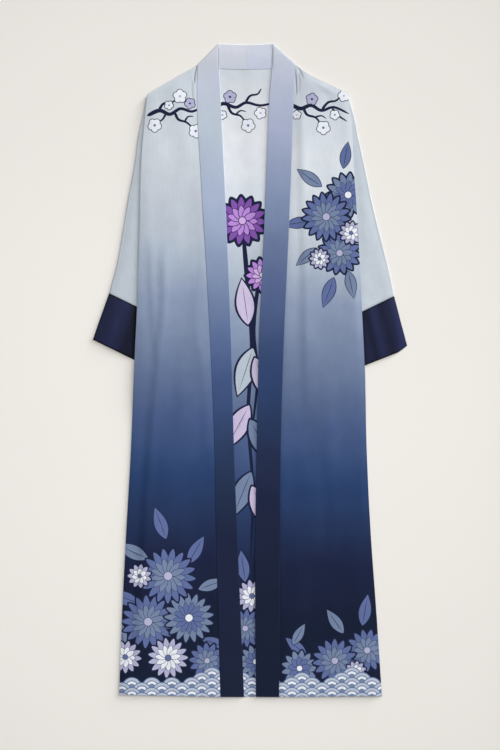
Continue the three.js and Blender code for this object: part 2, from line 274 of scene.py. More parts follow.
def mix(a, b, t):
    return a + (b - a) * t


def smooth(value, start, end):
    t = np.clip((value - start) / (end - start), 0, 1)
    return t * t * (3 - 2 * t)


def along(rows, column, drop):
    """A column of a table at any drop, on a smooth curve through its rows."""
    xs, ys = rows["drop"], rows[column]
    last = len(xs) - 1
    at = np.clip(drop, xs[0], xs[last])
    after = np.clip(np.searchsorted(xs, at), 1, last)
    before = after - 1
    low = np.maximum(np.arange(last + 1) - 1, 0)
    high = np.minimum(np.arange(last + 1) + 1, last)
    slope = (ys[high] - ys[low]) / (xs[high] - xs[low])
    step = xs[after] - xs[before]
    t = (at - xs[before]) / step
    bend = t * (1 - t) * ((1 - t) * slope[before] - t * slope[after])
    return ys[before] + (ys[after] - ys[before]) * t * t * (3 - 2 * t) + step * bend


def inside(points, outline):
    """Which points lie inside a closed outline."""
    x, y = points.T
    odd = np.zeros(len(points), bool)
    for (ax, ay), (bx, by) in zip(outline, np.roll(outline, -1, 0)):
        if ay != by:
            odd ^= ((ay > y) != (by > y)) & (x < ax + (bx - ax) * (y - ay) / (by - ay))
    return odd


def edge_distance(points, outline):
    """Distance from each point to the nearest edge of a closed outline."""
    nearest = np.full(len(points), np.inf)
    for a, b in zip(outline, np.roll(outline, -1, 0)):
        edge = b - a
        t = np.clip((points - a) @ edge / max(edge @ edge, 1e-9), 0, 1)
        nearest = np.minimum(nearest, np.hypot(*(points - a - t[:, None] * edge).T))
    return nearest


def crease_height(x, drop, line, steep, tail, height, fade):
    """A fold that rises on one side of its line and slopes away on the other."""
    drops, places = np.array(line, float).T
    off = x - np.interp(drop, drops, places)
    rise = smooth(off, -steep / 2, steep / 2)
    slope = np.exp(-np.maximum(off - steep / 2, 0) / tail)
    ends = smooth(drop, drops[0], drops[0] + fade[0])
    ends *= 1 - smooth(drop, drops[-1] - fade[1], drops[-1])
    return height * rise * slope * ends


def tuck_depth(x, drop, line, width, depth):
    """A narrow valley along a line."""
    drops, places = np.array(line, float).T
    off = x - np.interp(drop, drops, places)
    ends = smooth(drop, drops[0] - 1, drops[0] + 2)
    ends *= 1 - smooth(drop, drops[-1] - TUCK_FADE, drops[-1])
    return depth * np.exp(-((off / width) ** 2)) * ends


def fine_points(side):
    """Places for mesh points along a front's tucks and outer edge."""
    points = []
    for tuck in TUCKS[side]:
        drops, places = np.array(tuck["line"], float).T
        for drop in np.arange(drops[0] - 2, drops[-1] + 1, TUCK_LINES["step"]):
            x = np.interp(drop, drops, places)
            for share in TUCK_LINES["shares"]:
                points.append((x + share * tuck["width"], y_at(drop)))
    for drop in np.arange(BODY["drop"][0] + 3, LENGTH - 6, EDGE_LINES["step"]):
        for inset in EDGE_LINES["insets"]:
            points.append((SIDES[side] * (along(BODY, side, drop) - inset), y_at(drop)))
    return np.array(points)


def swell_height(x, drop):
    """Each swell also starts at a phase of its own, which is its length."""
    return sum(
        height * np.sin(2 * math.pi * (x / wave + drift * drop) + wave)
        for wave, drift, height in SWELLS
    )


def ripple_height(across, drop, ripples):
    return sum(
        height * np.sin(across / wide + drop / long + start)
        for height, wide, long, start in ripples
    )


# ---- The sleeves' sections, and the lift of the body over them ----
def tube_ends(side, rows, drop):
    """Outer and inner ends of pressed sections of a sleeve or cuff, and the way between them."""
    sign = SIDES[side]
    tilt = np.radians(along(rows, "tilt", drop))
    outer = np.stack([sign * along(rows, "reach", drop), y_at(drop)], -1)
    inwards = np.stack([-sign * np.cos(tilt), -np.sin(tilt)], -1)
    width = along(rows, "width", drop)
    return outer, inwards, outer + inwards * np.expand_dims(width, -1), width


def tube_outline(side):
    outer, inner = [], []
    for rows, first in ((SLEEVE[side], 0), (CUFF[side], 1)):
        for drop in rows["drop"][first:]:
            out, _, end, _ = tube_ends(side, rows, drop)
            outer.append(out)
            inner.append(end)
    return np.array(outer + inner[::-1])


TUBES = [tube_outline(side) for side in SIDES]


def lift_at(x, y):
    """How far the body lies up over the sleeves."""
    points = np.stack([np.ravel(x), np.ravel(y)], -1)
    far = np.full(len(points), np.inf)
    for outline in TUBES:
        far = np.minimum(far, np.where(inside(points, outline), 0, edge_distance(points, outline)))
    lift = LIFT["height"] * (1 - smooth(far, LIFT["past"], LIFT["past"] + LIFT["fall"]))
    return lift.reshape(np.shape(x))


# ---- Dyes ----
# Under this scene's light, the cloth shows its own colour times GAIN, under a faint HAZE.
GAIN = 1.065
HAZE = 0.007


def dye(shown):
    """The cloth's own linear colour, from the plain screen colour that it shows when lit."""
    parts = [int(shown[k : k + 2], 16) / 255 for k in (0, 2, 4)]
    linear = [p / 12.92 if p < 0.04045 else ((p + 0.055) / 1.055) ** 2.4 for p in parts]
    return tuple(max((p - HAZE) / GAIN, 0.001) for p in linear) + (1.0,)


# ---- Printed shapes, as closed loops of (x, drop), painted in order ----
INKS = {
    "navy": "1e243f",
    "slate": "5f6d9c",
    "steel": "7383a1",
    "lavender": "b0b0ce",
    "haze": "b4bfcc",
    "pale": "e6eaf1",
    "mist": "c6bbd8",
    "purple": "7f53a6",
    "violet": "b789d6",
    "lilac": "d0abe4",
}
TONES = list(INKS)
PETAL_LEAN = 0.85
# A chrysanthemum's rings of petals run between these shares of its radius. A petal fills a share of
# the room that it has at the middle, which is a share of its reach.
KIKU = {"outer": (0.25, 1.0), "inner": (0.1, 0.64), "fewer": 4, "fill": 0.98, "middle": 0.72,
        "heart": 0.15}
# A plum blossom's and a leaf's sizes, in shares of their radius and length, and a vein in mm.
UME = {"petals": 5, "out": 0.55, "petal": 0.46, "heart": 0.2}
LEAF = {"half": 0.19, "blunt": 0.95, "points": 16, "vein": (0.04, 0.9), "vein_half": 0.7}
# A brush stroke's steps between two places, how much thinner it ends, and how its ends are rounded.
BRUSH = {"step": 0.2, "thinner": 0.55, "square": 12, "least": 0.04}
# The wave fans at the hem: their radius, their rings in shares of it, and the line of their crests.
FAN = {"radius": 21, "rows": 10, "side": 290, "points": 20}
FAN_RINGS = {1: "slate", 0.91: "haze", 0.66: "slate", 0.57: "pale", 0.34: "steel"}
CREST_DROP = 1318
CREST_WAVES = [(10, 41, 0), (8, 23, 1)]


def petal(x, drop, angle, near, far, half, grow=0.0, blunt=0.6, points=8):
    """A petal or leaf that points away from (x, drop), larger all round by grow."""
    u = 0.5 * (1 - np.cos(np.linspace(0, math.pi, points)))
    run = near - grow + (far - near + 2 * grow) * u
    wide = (half + grow) * np.sin(math.pi * u**PETAL_LEAN) ** blunt
    run = np.concatenate([run, run[-2:0:-1]])
    wide = np.concatenate([wide, -wide[-2:0:-1]])
    c, s = math.cos(angle), math.sin(angle)
    return np.stack([x + c * run - s * wide, drop + s * run + c * wide], -1)


def disc(x, drop, radius, points=18):
    turn = np.linspace(0, 2 * math.pi, points, endpoint=False)
    return np.stack([x + radius * np.cos(turn), drop + radius * np.sin(turn)], -1)


def kiku(x, drop, radius, petals, turn, rim, tones, line=0.9):
    """A chrysanthemum: two rings of petals round a heart, with a dark rim."""
    outer, inner, heart = tones
    rings = ((*KIKU["outer"], petals, outer), (*KIKU["inner"], petals - KIKU["fewer"], inner))
    rim_shapes, shapes = [], []
    for near, far, count, tone in rings:
        half = KIKU["fill"] * math.pi * radius * far * KIKU["middle"] / count
        for k in range(count):
            args = (x, drop, turn + 2 * math.pi * k / count, radius * near, radius * far, half)
            if (near, far) == KIKU["outer"]:
                rim_shapes.append((petal(*args, grow=rim), "navy"))
            shapes.append((petal(*args, grow=line), "navy"))
            shapes.append((petal(*args), tone))
    shapes.append((disc(x, drop, radius * KIKU["heart"] + line), "navy"))
    shapes.append((disc(x, drop, radius * KIKU["heart"]), heart))
    return rim_shapes + shapes


def ume(x, drop, radius, turn, tone, heart, line=1.6):
    """A plum blossom: five round petals."""
    shapes = []
    out = UME["out"] * radius
    for grow, ink in ((line, "navy"), (0, tone)):
        for k in range(UME["petals"]):
            angle = turn + 2 * math.pi * k / UME["petals"]
            place = (x + out * math.cos(angle), drop + out * math.sin(angle))
            shapes.append((disc(*place, radius * UME["petal"] + grow, 12), ink))
    shapes.append((disc(x, drop, radius * UME["heart"], 8), heart))
    return shapes


def leaf(x, drop, length, degrees, tone, rim=1.6):
    """A leaf with a dark rim and a vein."""
    angle = math.radians(degrees)
    blade = (x, drop, angle, 0, length, LEAF["half"] * length)
    form = {"blunt": LEAF["blunt"], "points": LEAF["points"]}
    vein_start, vein_end = (share * length for share in LEAF["vein"])
    return [
        (petal(*blade, grow=rim, **form), "navy"),
        (petal(*blade, **form), tone),
        (petal(x, drop, angle, vein_start, vein_end, LEAF["vein_half"], points=4), "navy"),
    ]


def stroke(line, width):
    """A brush stroke along a smooth line through the given places, thin at its far end."""
    knots = np.array(line, float)
    padded = np.vstack([2 * knots[0] - knots[1], knots, 2 * knots[-1] - knots[-2]])
    places = []
    for a, b, c, d in zip(padded, padded[1:], padded[2:], padded[3:]):
        for t in np.arange(0, 1, BRUSH["step"]):
            places.append(
                0.5 * (2 * b + (c - a) * t + (2 * a - 5 * b + 4 * c - d) * t**2
                       + (3 * b - a - 3 * c + d) * t**3)
            )
    places = np.array(places + [knots[-1]])
    way = np.gradient(places, axis=0)
    way /= np.hypot(*way.T)[:, None]
    across = np.stack([-way[:, 1], way[:, 0]], -1)
    u = np.linspace(0, 1, len(places))
    rounding = np.sqrt(np.clip(1 - (2 * u - 1) ** BRUSH["square"], BRUSH["least"], 1))
    half = (width / 2 * (1 - BRUSH["thinner"] * u) * rounding)[:, None]
    return [(np.vstack([places + across * half, (places - across * half)[::-1]]), "navy")]


def crest(x):
    return CREST_DROP + sum(
        height * math.sin(x / wave + start) for height, wave, start in CREST_WAVES
    )


def hem_waves():
    """Overlapping wave fans, in rows from the line of their crests down to the hem."""
    shapes = []
    radius, side = FAN["radius"], FAN["side"]
    top = LENGTH - FAN["rows"] * radius
    for row, drop in enumerate(np.arange(top, LENGTH + radius, radius / 2)):
        for x in np.arange(-side + row % 2 * radius, side, 2 * radius):
            if drop - radius > crest(x):
                for share, ink in FAN_RINGS.items():
                    shapes.append((disc(x, drop, radius * share, FAN["points"]), ink))
    return shapes


def spray(items):
    return [shape for item in items for shape in item]


BLUE_KIKU = ("slate", "steel", "lavender")
PALE_KIKU = ("lavender", "pale", "slate")
STEEL_KIKU = ("steel", "slate", "pale")
VIOLET_KIKU = ("violet", "lilac", "pale")
PURPLE_KIKU = ("purple", "violet", "lilac")

FRONT_PRINT = spray([
    # Plum branches at the shoulders.
    stroke([(-216, 152), (-190, 141), (-168, 149), (-146, 137), (-122, 143), (-100, 133)], 9.5),
    stroke([(-192, 142), (-182, 127), (-164, 124), (-150, 114)], 6.2),
    stroke([(-176, 147), (-184, 160), (-198, 168)], 5),
    stroke([(-158, 145), (-150, 160), (-133, 166), (-118, 180)], 6.6),
    stroke([(-137, 164), (-130, 154), (-118, 153)], 4.4),
    stroke([(84, 127), (106, 137), (128, 130), (150, 141), (176, 134), (208, 148)], 9.5),
    stroke([(112, 136), (120, 150), (138, 156), (150, 172)], 6.6),
    stroke([(136, 155), (150, 152), (160, 158)], 4.2),
    stroke([(150, 140), (164, 124), (181, 120), (193, 108)], 6.2),
    stroke([(172, 136), (186, 152), (204, 164)], 5.6),
    ume(-200, 172, 14, 0.3, "pale", "slate"),
    ume(-147, 111, 14, 0.9, "pale", "lavender"),
    ume(-114, 184, 14, 0.1, "pale", "slate"),
    ume(-126, 126, 11, 0.5, "lavender", "navy"),
    ume(-170, 130, 9, 0.2, "pale", "slate"),
    ume(154, 177, 14, 0.3, "pale", "slate"),
    ume(130, 117, 12, 1.1, "lavender", "navy"),
    ume(197, 110, 12, 0.7, "pale", "lavender"),
    ume(178, 150, 10, 0.2, "pale", "slate"),
    ume(98, 150, 9, 0.9, "pale", "lavender"),
    # Chrysanthemums on the wearer's left chest.
    leaf(150, 300, 62, 215, "steel"),
    leaf(128, 372, 58, 170, "slate"),
    leaf(140, 430, 56, 140, "steel"),
    leaf(196, 262, 56, 280, "slate"),
    leaf(176, 492, 66, 110, "slate"),
    leaf(206, 478, 58, 78, "steel"),
    kiku(206, 318, 46, 15, 0.2, 4.5, STEEL_KIKU),
    kiku(188, 440, 44, 15, 0.5, 4.5, BLUE_KIKU),
    kiku(160, 364, 50, 17, 0.1, 4.5, BLUE_KIKU),
    kiku(212, 398, 24, 11, 0.3, 3.5, PALE_KIKU),
    kiku(146, 452, 21, 11, 0.3, 3.5, PALE_KIKU),
    # The larger group at the hem, on the wearer's right.
    leaf(-176, 1040, 70, 250, "slate"),
    leaf(-214, 1082, 74, 205, "steel"),
    leaf(-130, 1092, 66, 300, "slate"),
    leaf(-108, 1146, 60, 340, "steel"),
    leaf(-100, 1250, 60, 20, "slate"),
    leaf(-232, 1176, 70, 200, "slate"),
    leaf(-262, 1262, 60, 250, "steel"),
    kiku(-214, 1214, 56, 17, 0.2, 4, BLUE_KIKU),
    kiku(-128, 1206, 52, 17, 0.6, 4, STEEL_KIKU),
    kiku(-172, 1118, 58, 17, 0.1, 4, BLUE_KIKU),
    kiku(-232, 1118, 25, 11, 0.3, 3, PALE_KIKU),
    kiku(-90, 1296, 38, 13, 0.3, 4, BLUE_KIKU),
    kiku(-262, 1288, 34, 13, 0.1, 4, PALE_KIKU),
    kiku(-172, 1290, 42, 15, 0.4, 4, PALE_KIKU),
    # The smaller group at the hem, on the wearer's left.
    leaf(236, 1222, 66, 280, "slate"),
    leaf(196, 1238, 60, 235, "steel"),
    leaf(118, 1284, 56, 220, "slate"),
    leaf(90, 1262, 50, 300, "steel"),
    kiku(246, 1274, 44, 15, 0.3, 4, BLUE_KIKU),
    kiku(104, 1312, 38, 13, 0.5, 4, STEEL_KIKU),
    kiku(178, 1296, 46, 15, 0.1, 4, BLUE_KIKU),
    kiku(222, 1318, 22, 11, 0.3, 3, PALE_KIKU),
    hem_waves(),
])
BACK_PRINT = spray([
    # A plum branch below the neck.
    stroke(
        [(-104, 128), (-78, 137), (-56, 126), (-30, 134), (-8, 124), (22, 130), (60, 122)], 9.5
    ),
    stroke([(-48, 128), (-38, 146), (-20, 152), (-8, 168)], 6.4),
    stroke([(-30, 149), (-20, 141), (-8, 143)], 4.2),
    stroke([(-10, 125), (0, 110), (16, 106), (24, 94)], 5.8),
    ume(-4, 172, 14, 0.2, "pale", "slate"),
    ume(22, 146, 12, 0.6, "pale", "lavender"),
    ume(-42, 112, 13, 0.9, "lavender", "navy"),
    ume(-58, 150, 9, 0.4, "pale", "slate"),
    # Two tall chrysanthemums in the opening.
    stroke([(-14, 400), (-4, 520), (4, 640), (-4, 780), (6, 940), (0, 1100)], 11),
    stroke([(20, 480), (8, 600), (16, 700), (2, 830)], 9),
    leaf(-4, 590, 96, 262, "mist", rim=4.6),
    leaf(6, 640, 104, 108, "haze", rim=4.8),
    leaf(10, 660, 100, 70, "mist", rim=4.6),
    leaf(-2, 760, 104, 118, "mist", rim=4.8),
    leaf(0, 790, 104, 62, "steel", rim=4.8),
    leaf(2, 900, 100, 112, "steel", rim=4.6),
    leaf(4, 930, 104, 66, "mist", rim=4.8),
    kiku(26, 486, 34, 13, 0.2, 6.5, VIOLET_KIKU, line=1.4),
    kiku(-16, 372, 50, 15, 0.05, 7, PURPLE_KIKU, line=1.6),
    # A group at the hem.
    leaf(-10, 1130, 66, 262, "slate"),
    kiku(4, 1160, 34, 13, 0.2, 4, PALE_KIKU),
    kiku(-10, 1228, 40, 15, 0.2, 4, BLUE_KIKU),
    kiku(12, 1298, 36, 13, 0.5, 4, STEEL_KIKU),
    hem_waves(),
])


# ---- Meshes ----
# Rows of the grid lie nearer than its points, which stay clear of the outline by a share of their
# spacing. The extra points stay clear of it by a distance.
GRID_ROW = 0.87
GRID_CLEAR = 0.4
EXTRA_CLEAR = 0.3
SAME_POINT = 1e-4
LEAST_AREA = 1e-6


def add_object(name, points, faces, material, sharp=40):
    mesh = bpy.data.meshes.new(name)
    mesh.from_pydata((np.asarray(points) * MM).tolist(), [], [list(map(int, f)) for f in faces])
    mesh.validate()
    mesh.update()
    mesh.shade_smooth()
    mesh.set_sharp_from_angle(angle=math.radians(sharp))
    mesh.materials.append(material)
    obj = bpy.data.objects.new(name, mesh)
    bpy.context.scene.collection.objects.link(obj)
    return obj


def add_shade(obj, values):
    """Painted shade at each point: how much darker the cloth is drawn in a tuck, along a fold, at a
    turned edge or seam and in a shadow beside the body; lighter where negative.
    """
    layer = obj.data.attributes.new("shade", "FLOAT", "POINT")
    layer.data.foreach_set("value", values)


def cut_flat(outline, shapes, spacing, extra):
    """Triangles over a flat outline, cut along the edge of every printed shape.

    extra holds more places that get a mesh point.
    """
    low, high = outline.min(0), outline.max(0)
    gx, gy = np.meshgrid(
        np.arange(low[0], high[0], spacing), np.arange(low[1], high[1], spacing * GRID_ROW)
    )
    gx[1::2] += spacing / 2
    grid = np.stack([gx.ravel(), gy.ravel()], -1)
    grid = grid[inside(grid, outline)]
    grid = grid[edge_distance(grid, outline) > spacing * GRID_CLEAR]
    if len(extra):
        extra = extra[inside(extra, outline)]
        extra = extra[edge_distance(extra, outline) > EXTRA_CLEAR]
    loops = [outline] + [shape for shape, _ in shapes]
    points = np.vstack(loops + [grid] + [extra] * (len(extra) > 0))
    edges, start = [], 0
    for loop in loops:
        ring = list(range(start, start + len(loop)))
        edges += zip(ring, ring[1:] + ring[:1])
        start += len(loop)
    places = [Vector(p) for p in points.tolist()]
    found = geometry.delaunay_2d_cdt(places, edges, [], 1, SAME_POINT)
    flat = np.array([tuple(v) for v in found[0]])
    faces = np.array(found[2])
    a, b, c = (flat[faces[:, k]] for k in range(3))
    area = (b[:, 0] - a[:, 0]) * (c[:, 1] - a[:, 1]) - (b[:, 1] - a[:, 1]) * (c[:, 0] - a[:, 0])
    faces[area < 0] = faces[area < 0][:, ::-1]
    centres = (a + b + c) / 3
    keep = (np.abs(area) > LEAST_AREA) & inside(centres, outline)
    faces, centres = faces[keep], centres[keep]
    used, faces = np.unique(faces, return_inverse=True)
    return flat[used], faces.reshape(-1, 3), centres


def ink_faces(centres, shapes):
    """The last shape painted over each face, as an index into TONES, or -1."""
    ink = np.full(len(centres), -1)
    for shape, tone in shapes:
        near = np.flatnonzero(((centres > shape.min(0)) & (centres < shape.max(0))).all(1))
        ink[near[inside(centres[near], shape)]] = TONES.index(tone)
    return ink


def panel(name, outline, shapes, heights, material, spacing, extra=()):
    """A thin closed shell of cloth. heights gives its top, its underside and its painted shade."""
    box_low, box_high = outline.min(0), outline.max(0)
    shapes = [(np.stack([s[:, 0], y_at(s[:, 1])], -1), tone) for s, tone in shapes]
    shapes = [
        (s, tone) for s, tone in shapes
        if (s.max(0) > box_low).all() and (s.min(0) < box_high).all()
    ]
    flat, faces, centres = cut_flat(outline, shapes, spacing, extra)
    ink = ink_faces(centres, shapes)
    top, under, shade = heights(flat[:, 0], flat[:, 1])
    n = len(flat)
    points = np.vstack([np.column_stack([flat, top]), np.column_stack([flat, under])])
    sides = {}
    for a, b, c in faces:
        for edge in ((a, b), (b, c), (c, a)):
            if edge[::-1] in sides:
                del sides[edge[::-1]]
            else:
                sides[edge] = True
    rim = [(b, a, a + n, b + n) for a, b in sides]
    obj = add_object(name, points, [*faces, *(faces[:, ::-1] + n), *rim], material)
    colours = np.array([dye(INKS[tone]) for tone in TONES] + [(0.0, 0.0, 0.0, 0.0)])
    corners = np.repeat(np.concatenate([ink, ink]), 3)
    corners = np.concatenate([corners, np.full(4 * len(rim), -1)])
    layer = obj.data.color_attributes.new("ink", "FLOAT_COLOR", "CORNER")
    layer.data.foreach_set("color", colours[corners].ravel())
    add_shade(obj, np.concatenate([shade, shade]))
    return obj


def shoulder_line(side, t):
    rule = SHOULDER[side]
    reach = mix(BODY[side][0], rule["neck_reach"], t)
    drop = mix(BODY["drop"][0], rule["neck_drop"], t) + rule["sag"] * np.sin(math.pi * t * t)
    return reach, drop


def front_outline(side):
    rule, sign = SHOULDER[side], SIDES[side]
    outer_drop = np.linspace(BODY["drop"][0], rule["corner_drop"], STEPS["front_outer"])
    inner_drop = np.linspace(LENGTH, rule["neck_drop"], STEPS["front_inner"])
    t = np.linspace(0, 1, STEPS["front_hem"])
    outer = np.stack([along(BODY, side, outer_drop), outer_drop], -1)
    inner_reach = along(BAND, side + "Seam", inner_drop) + SEAM_GAP
    inner = np.stack([inner_reach, inner_drop], -1)
    hem = np.stack([mix(outer[-1, 0], inner[0, 0], t), mix(rule["corner_drop"], LENGTH, t)], -1)
    top = np.stack(shoulder_line(side, t[::-1]), -1)
    line = np.vstack([outer, hem[1:-1], inner, top[1:-1]])
    return np.stack([sign * line[:, 0], y_at(line[:, 1])], -1)


def front_heights(side):
    sign = SIDES[side]
    t = np.linspace(0, 1, STEPS["shoulder"])
    shoulder_reach, shoulder_drop = shoulder_line(side, t[::-1])

    def heights(x, y):
        reach, drop = sign * x, drop_at(y)
        top_drop = np.interp(reach, shoulder_reach, shoulder_drop)
        from_edge = np.minimum(along(BODY, side, drop) - reach, drop - top_drop)
        from_seam = reach - along(BAND, side + "Seam", drop)
        from_hem = LENGTH - drop

        def begins(distance, form):
            return smooth(distance, *FRONT_REACH[form])

        swell = swell_height(x + SWELL_SHIFT * sign, drop) * begins(from_edge, "swell_edge")
        swell = swell * begins(from_seam, "swell_seam") * begins(from_hem, "swell_hem")
        roll = begins(from_edge, "roll_rise") * (1 - begins(from_edge, "roll_fall"))
        lifted = (1 - begins(from_hem, "hem_lift")) * begins(from_edge, "hem_edge")
        relief = EDGE_ROLL[side] * roll + HEM_LIFT * lifted
        folds = sum(crease_height(x, drop, **crease) for crease in CREASES[side])
        folds = folds * begins(from_edge, "crease_edge")
        folds = folds * mix(CREASE_AT_SEAM, 1, begins(from_seam, "crease_seam"))
        tucks = sum(tuck_depth(x, drop, **tuck) for tuck in TUCKS[side])
        tucks = tucks * begins(from_seam, "tuck_seam")
        dip = EDGE_DIP[side] * (1 - begins(from_edge, "edge_dip"))
        dip = dip + SEAM_DIP[side] * np.exp(-((from_seam / SEAM_DIP_WIDTH) ** 2)) + tucks
        swell = np.maximum(swell, SWELL_LOWEST)
        top = lift_at(x, y) + FRONT_TOP + relief + swell + folds - dip
        # The tucks' depth also serves as painted shade in them.
        return top, top - SILK, tucks

    return heights


def fold_line(side):
    """The line that the neckband folds over on, and the way out of the fold."""
    sign = SIDES[side]
    free, seam = (np.array([sign * r, y_at(d)]) for r, d in NECK_FOLD[side].values())
    way = (seam - free) / np.hypot(*(seam - free))
    out = np.array([-sign * way[1], sign * way[0]])
    inset = -(FOLD_RADIUS + BAND_THICK / 2) * out
    return free + inset, seam + inset, out


def neck_seam_drop(x):
    ends = [fold_line(side)[1] for side in SIDES]
    end = np.where(x < NECK["centre_x"], ends[0][0], ends[1][0])
    end_drop = drop_at(np.where(x < NECK["centre_x"], ends[0][1], ends[1][1]))
    t = np.clip((x - NECK["centre_x"]) / (end - NECK["centre_x"]), 0, 1)
    return mix(NECK["seam_drop"], end_drop, t ** NECK["curve"])


def back_outline():
    edges, tops = {}, {}
    t = np.linspace(0, 1, STEPS["back_shoulder"])
    for side, sign in SIDES.items():
        drop = np.linspace(BODY["drop"][0], SHOULDER[side]["corner_drop"], STEPS["back_edge"])
        edges[side] = np.stack([sign * along(BODY, side, drop), y_at(drop)], -1)
        reach, drop = shoulder_line(side, t)
        tops[side] = np.stack([sign * reach, y_at(drop)], -1)
    x = np.linspace(tops["right"][-1, 0], tops["left"][-1, 0], STEPS["back_neck"])
    neck = np.stack([x, y_at(neck_seam_drop(x) + SEAM_GAP)], -1)
    (start_x, start_y), (end_x, end_y) = edges["left"][-1], edges["right"][-1]
    x = np.linspace(start_x, end_x, STEPS["back_hem"])
    hem = np.stack([x, np.interp(x, [end_x, start_x], [end_y, start_y])], -1)
    hem[:, 1] -= BACK_HEM_SAG * np.sin(math.pi * np.linspace(0, 1, STEPS["back_hem"]))
    return np.vstack(
        [tops["right"], neck[1:-1], tops["left"][::-1], edges["left"][1:], hem[1:-1],
         edges["right"][::-1][:-1]]
    )


def back_heights(x, y):
    drop = drop_at(y)
    reach = np.where(x < 0, along(BODY, "right", drop), along(BODY, "left", drop)) - np.abs(x)
    lift = lift_at(x, y)
    edge = BACK_EDGE["height"] * (1 - smooth(reach, 0, BACK_EDGE["width"]))
    ripple = np.maximum(ripple_height(x, drop, BACK_RIPPLES), BACK_RIPPLE_LOWEST)
    top = lift + BACK_TOP + edge + ripple * (1 - smooth(np.abs(x), *BACK_OPENING))
    return top, lift, np.zeros(len(x))


def pressed_ring(width, height, inset, flats, rounds):
    """Places round a pressed section: how far along from its outer edge, and how far up or down."""
    radius = height / 2 - inset
    turn = np.linspace(0, math.pi / 2, rounds + 1)
    start = inset + radius * (1 - np.cos(turn))
    edge = inset + radius + EDGE_STEPS
    in_from_edge = edge[-1] + EDGE_CLEAR
    middle = np.linspace(in_from_edge, width - in_from_edge, flats + 1)
    top = np.concatenate([edge, middle, width - edge[::-1]])
    run = np.concatenate([start[:-1], top, width - start[:-1][::-1]])
    rise = radius * np.sin(turn[:-1])
    rise = np.concatenate([rise, np.full(len(top), radius), rise[::-1]])
    return np.concatenate([run, run[-2:0:-1]]), np.concatenate([rise, -rise[-2:0:-1]])


def ring_faces(rows, columns, start=0, flip=False):
    faces = []
    for r in range(rows - 1):
        for c in range(columns):
            d = (c + 1) % columns
            quad = (r * columns + c, r * columns + d, (r + 1) * columns + d, (r + 1) * columns + c)
            faces.append([start + k for k in (quad[::-1] if flip else quad)])
    return faces


def outwards(points, faces):
    """The faces turned so that they look out of the closed mesh."""
    points = np.asarray(points)
    volume = 0
    for face in faces:
        for k in range(1, len(face) - 1):
            a, b, c = points[face[0]], points[face[k]], points[face[k + 1]]
            volume += a @ np.cross(b, c)
    return faces if volume > 0 else [face[::-1] for face in faces]


def section_drops(rows, shell, gap):
    """Where a sleeve's or cuff's sections lie, close together at its seam and its mouth."""
    first, last = rows["drop"][[0, -1]]
    starts = first + gap + np.array(shell["first"])
    ends = last - np.array(shell["last"])
    between = np.linspace(starts[-1], ends[0], shell["between"])
    return np.concatenate([starts[:-1], between, ends[1:]])


def tube_relief(side, run, drop, shell):
    """The soft roll of a sleeve or cuff along its outer edge, and its ripples."""
    roll = EDGE_ROLL[side] * (1 - smooth(run, *TUBE_ROLL_FALL))
    edge = (EDGE_RISE[side] + roll) * smooth(run, *TUBE_ROLL_RISE)
    return edge + ripple_height(run, drop, shell["ripples"]) * smooth(run, 0, shell["ripple_in"])


def tube(name, side, rows, gap, shell, bands, material):
    """A sleeve or cuff pressed flat, open at both ends, with a wall of cloth all round."""
    thick = shell["thick"]
    sheen_runs, painted_sheen_shades = np.array(bands, float).T
    drops = section_drops(rows, shell, gap)
    ends = np.minimum(drops - drops[0], drops[-1] - drops)
    grids, shades = [], []
    for inset in (0.0, shell["wall"]):
        grid = []
        for drop, end in zip(drops, ends):
            outer, inwards, _, width = tube_ends(side, rows, drop)
            run, rise = pressed_ring(float(width), thick, inset, *TUBE_STEPS)
            place = outer + np.outer(run, inwards)
            if "cut" in rows:
                cut = np.interp(drop, rows["drop"], rows["cut"])
                place[:, 1] += cut * np.maximum(0, 1 - run / CORNER_WIDTH)
            pinch = 1 - shell["pinch"] * math.exp(-((end / SEAM_PINCH_WIDTH) ** 2))
            z = thick / 2 * pinch + rise * pinch
            outside = np.abs(place[:, 0]) - along(BODY, side, drop_at(place[:, 1]))
            # Painted shade: darker at the seam, the mouth and the outer turned edge, with a painted
            # shadow beside the body's edge and painted sheen bands across.
            painted_edge_shade = np.exp(-((np.minimum(end, run) / PAINTED_EDGE_SHADE_WIDTH) ** 2))
            painted_shadow_beside_body = shell["painted_contact_shadow"] * np.exp(-((np.maximum(outside, 0) / shell["reach"]) ** 2))
            shades.append(np.maximum(painted_edge_shade, painted_shadow_beside_body) + np.interp(run, sheen_runs, painted_sheen_shades))
            bare = smooth(outside, 0, TUBE_BARE)
            swell = tube_relief(side, run, drop, shell) * bare * rise / (thick / 2 - inset)
            z = z + np.where(rise > 0, swell, 0)
            grid.append(np.column_stack([place, z]))
        grids.append(np.array(grid))
    count, columns = grids[0].shape[:2]
    total = count * columns
    points = np.vstack([grid.reshape(-1, 3) for grid in grids])
    faces = ring_faces(count, columns) + ring_faces(count, columns, total, True)
    for row, flip in ((0, True), (count - 1, False)):
        for c in range(columns):
            d = (c + 1) % columns
            a, b = row * columns + c, row * columns + d
            quad = (a, b, b + total, a + total)
            faces.append(quad[::-1] if flip else quad)
    obj = add_object(name, points, outwards(points, faces), material, sharp=50)
    add_shade(obj, np.concatenate(shades))
    return obj


